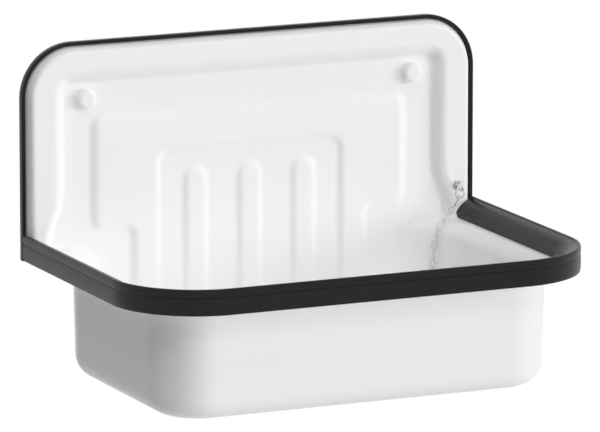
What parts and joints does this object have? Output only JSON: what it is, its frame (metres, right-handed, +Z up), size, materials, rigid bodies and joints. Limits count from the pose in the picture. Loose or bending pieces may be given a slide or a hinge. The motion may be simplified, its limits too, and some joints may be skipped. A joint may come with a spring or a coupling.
{
  "type": "wall-hung utility sink",
  "caption": "Wall-hung enamelled steel utility sink with an integral splashback, black edge trims, plug and chain.",
  "frame": {"origin": "on the wall plane, midway between the two wall fixings", "axes": "+X to the right seen from the front, +Y into the wall, +Z up"},
  "size_m": [0.51, 0.333, 0.37],
  "materials": {
    "enamel": "vitreous white enamel, glossy",
    "black_trim": "black extruded plastic, satin",
    "white_plastic": "moulded white plastic, semi-gloss",
    "chrome": "bright chrome plate",
    "zinc_steel": "zinc-plated steel",
    "stainless": "pressed stainless steel, satin",
    "black_rubber": "black rubber, matte"
  },
  "bodies": {
    "root": {"basin_shell": "enamel", "splash_edge_trim": "black_trim", "rim_trim": "black_trim", "fixing_collars": "white_plastic", "chain_eyebolt": "chrome", "chain_rosette": "chrome", "eyebolt_seal": "black_rubber", "eyebolt_nut": "zinc_steel", "chain_anchor_ring": "chrome", "plug_chain": "chrome", "waste_strainer": "stainless", "waste_gasket_upper": "black_rubber", "waste_gasket_lower": "black_rubber", "waste_body": "white_plastic", "waste_screw": "stainless"},
    "plug": {"plug_body": "black_rubber", "plug_eyelet": "chrome", "plug_ring": "chrome"},
    "cap_left": {"fixing_cap_left": "white_plastic"},
    "cap_right": {"fixing_cap_right": "white_plastic"}
  },
  "joints": [
    {"name": "plug_lift", "type": "slide", "parent": "root", "child": "plug", "axis": [0, 0, 1], "range_m": [0, 0.06], "deforming": ["plug_chain"]},
    {"name": "cap_left_pull", "type": "slide", "parent": "root", "child": "cap_left", "axis": [0, -1, 0], "range_m": [0, 0.02]},
    {"name": "cap_right_pull", "type": "slide", "parent": "root", "child": "cap_right", "axis": [0, -1, 0], "range_m": [0, 0.02]}
  ]
}
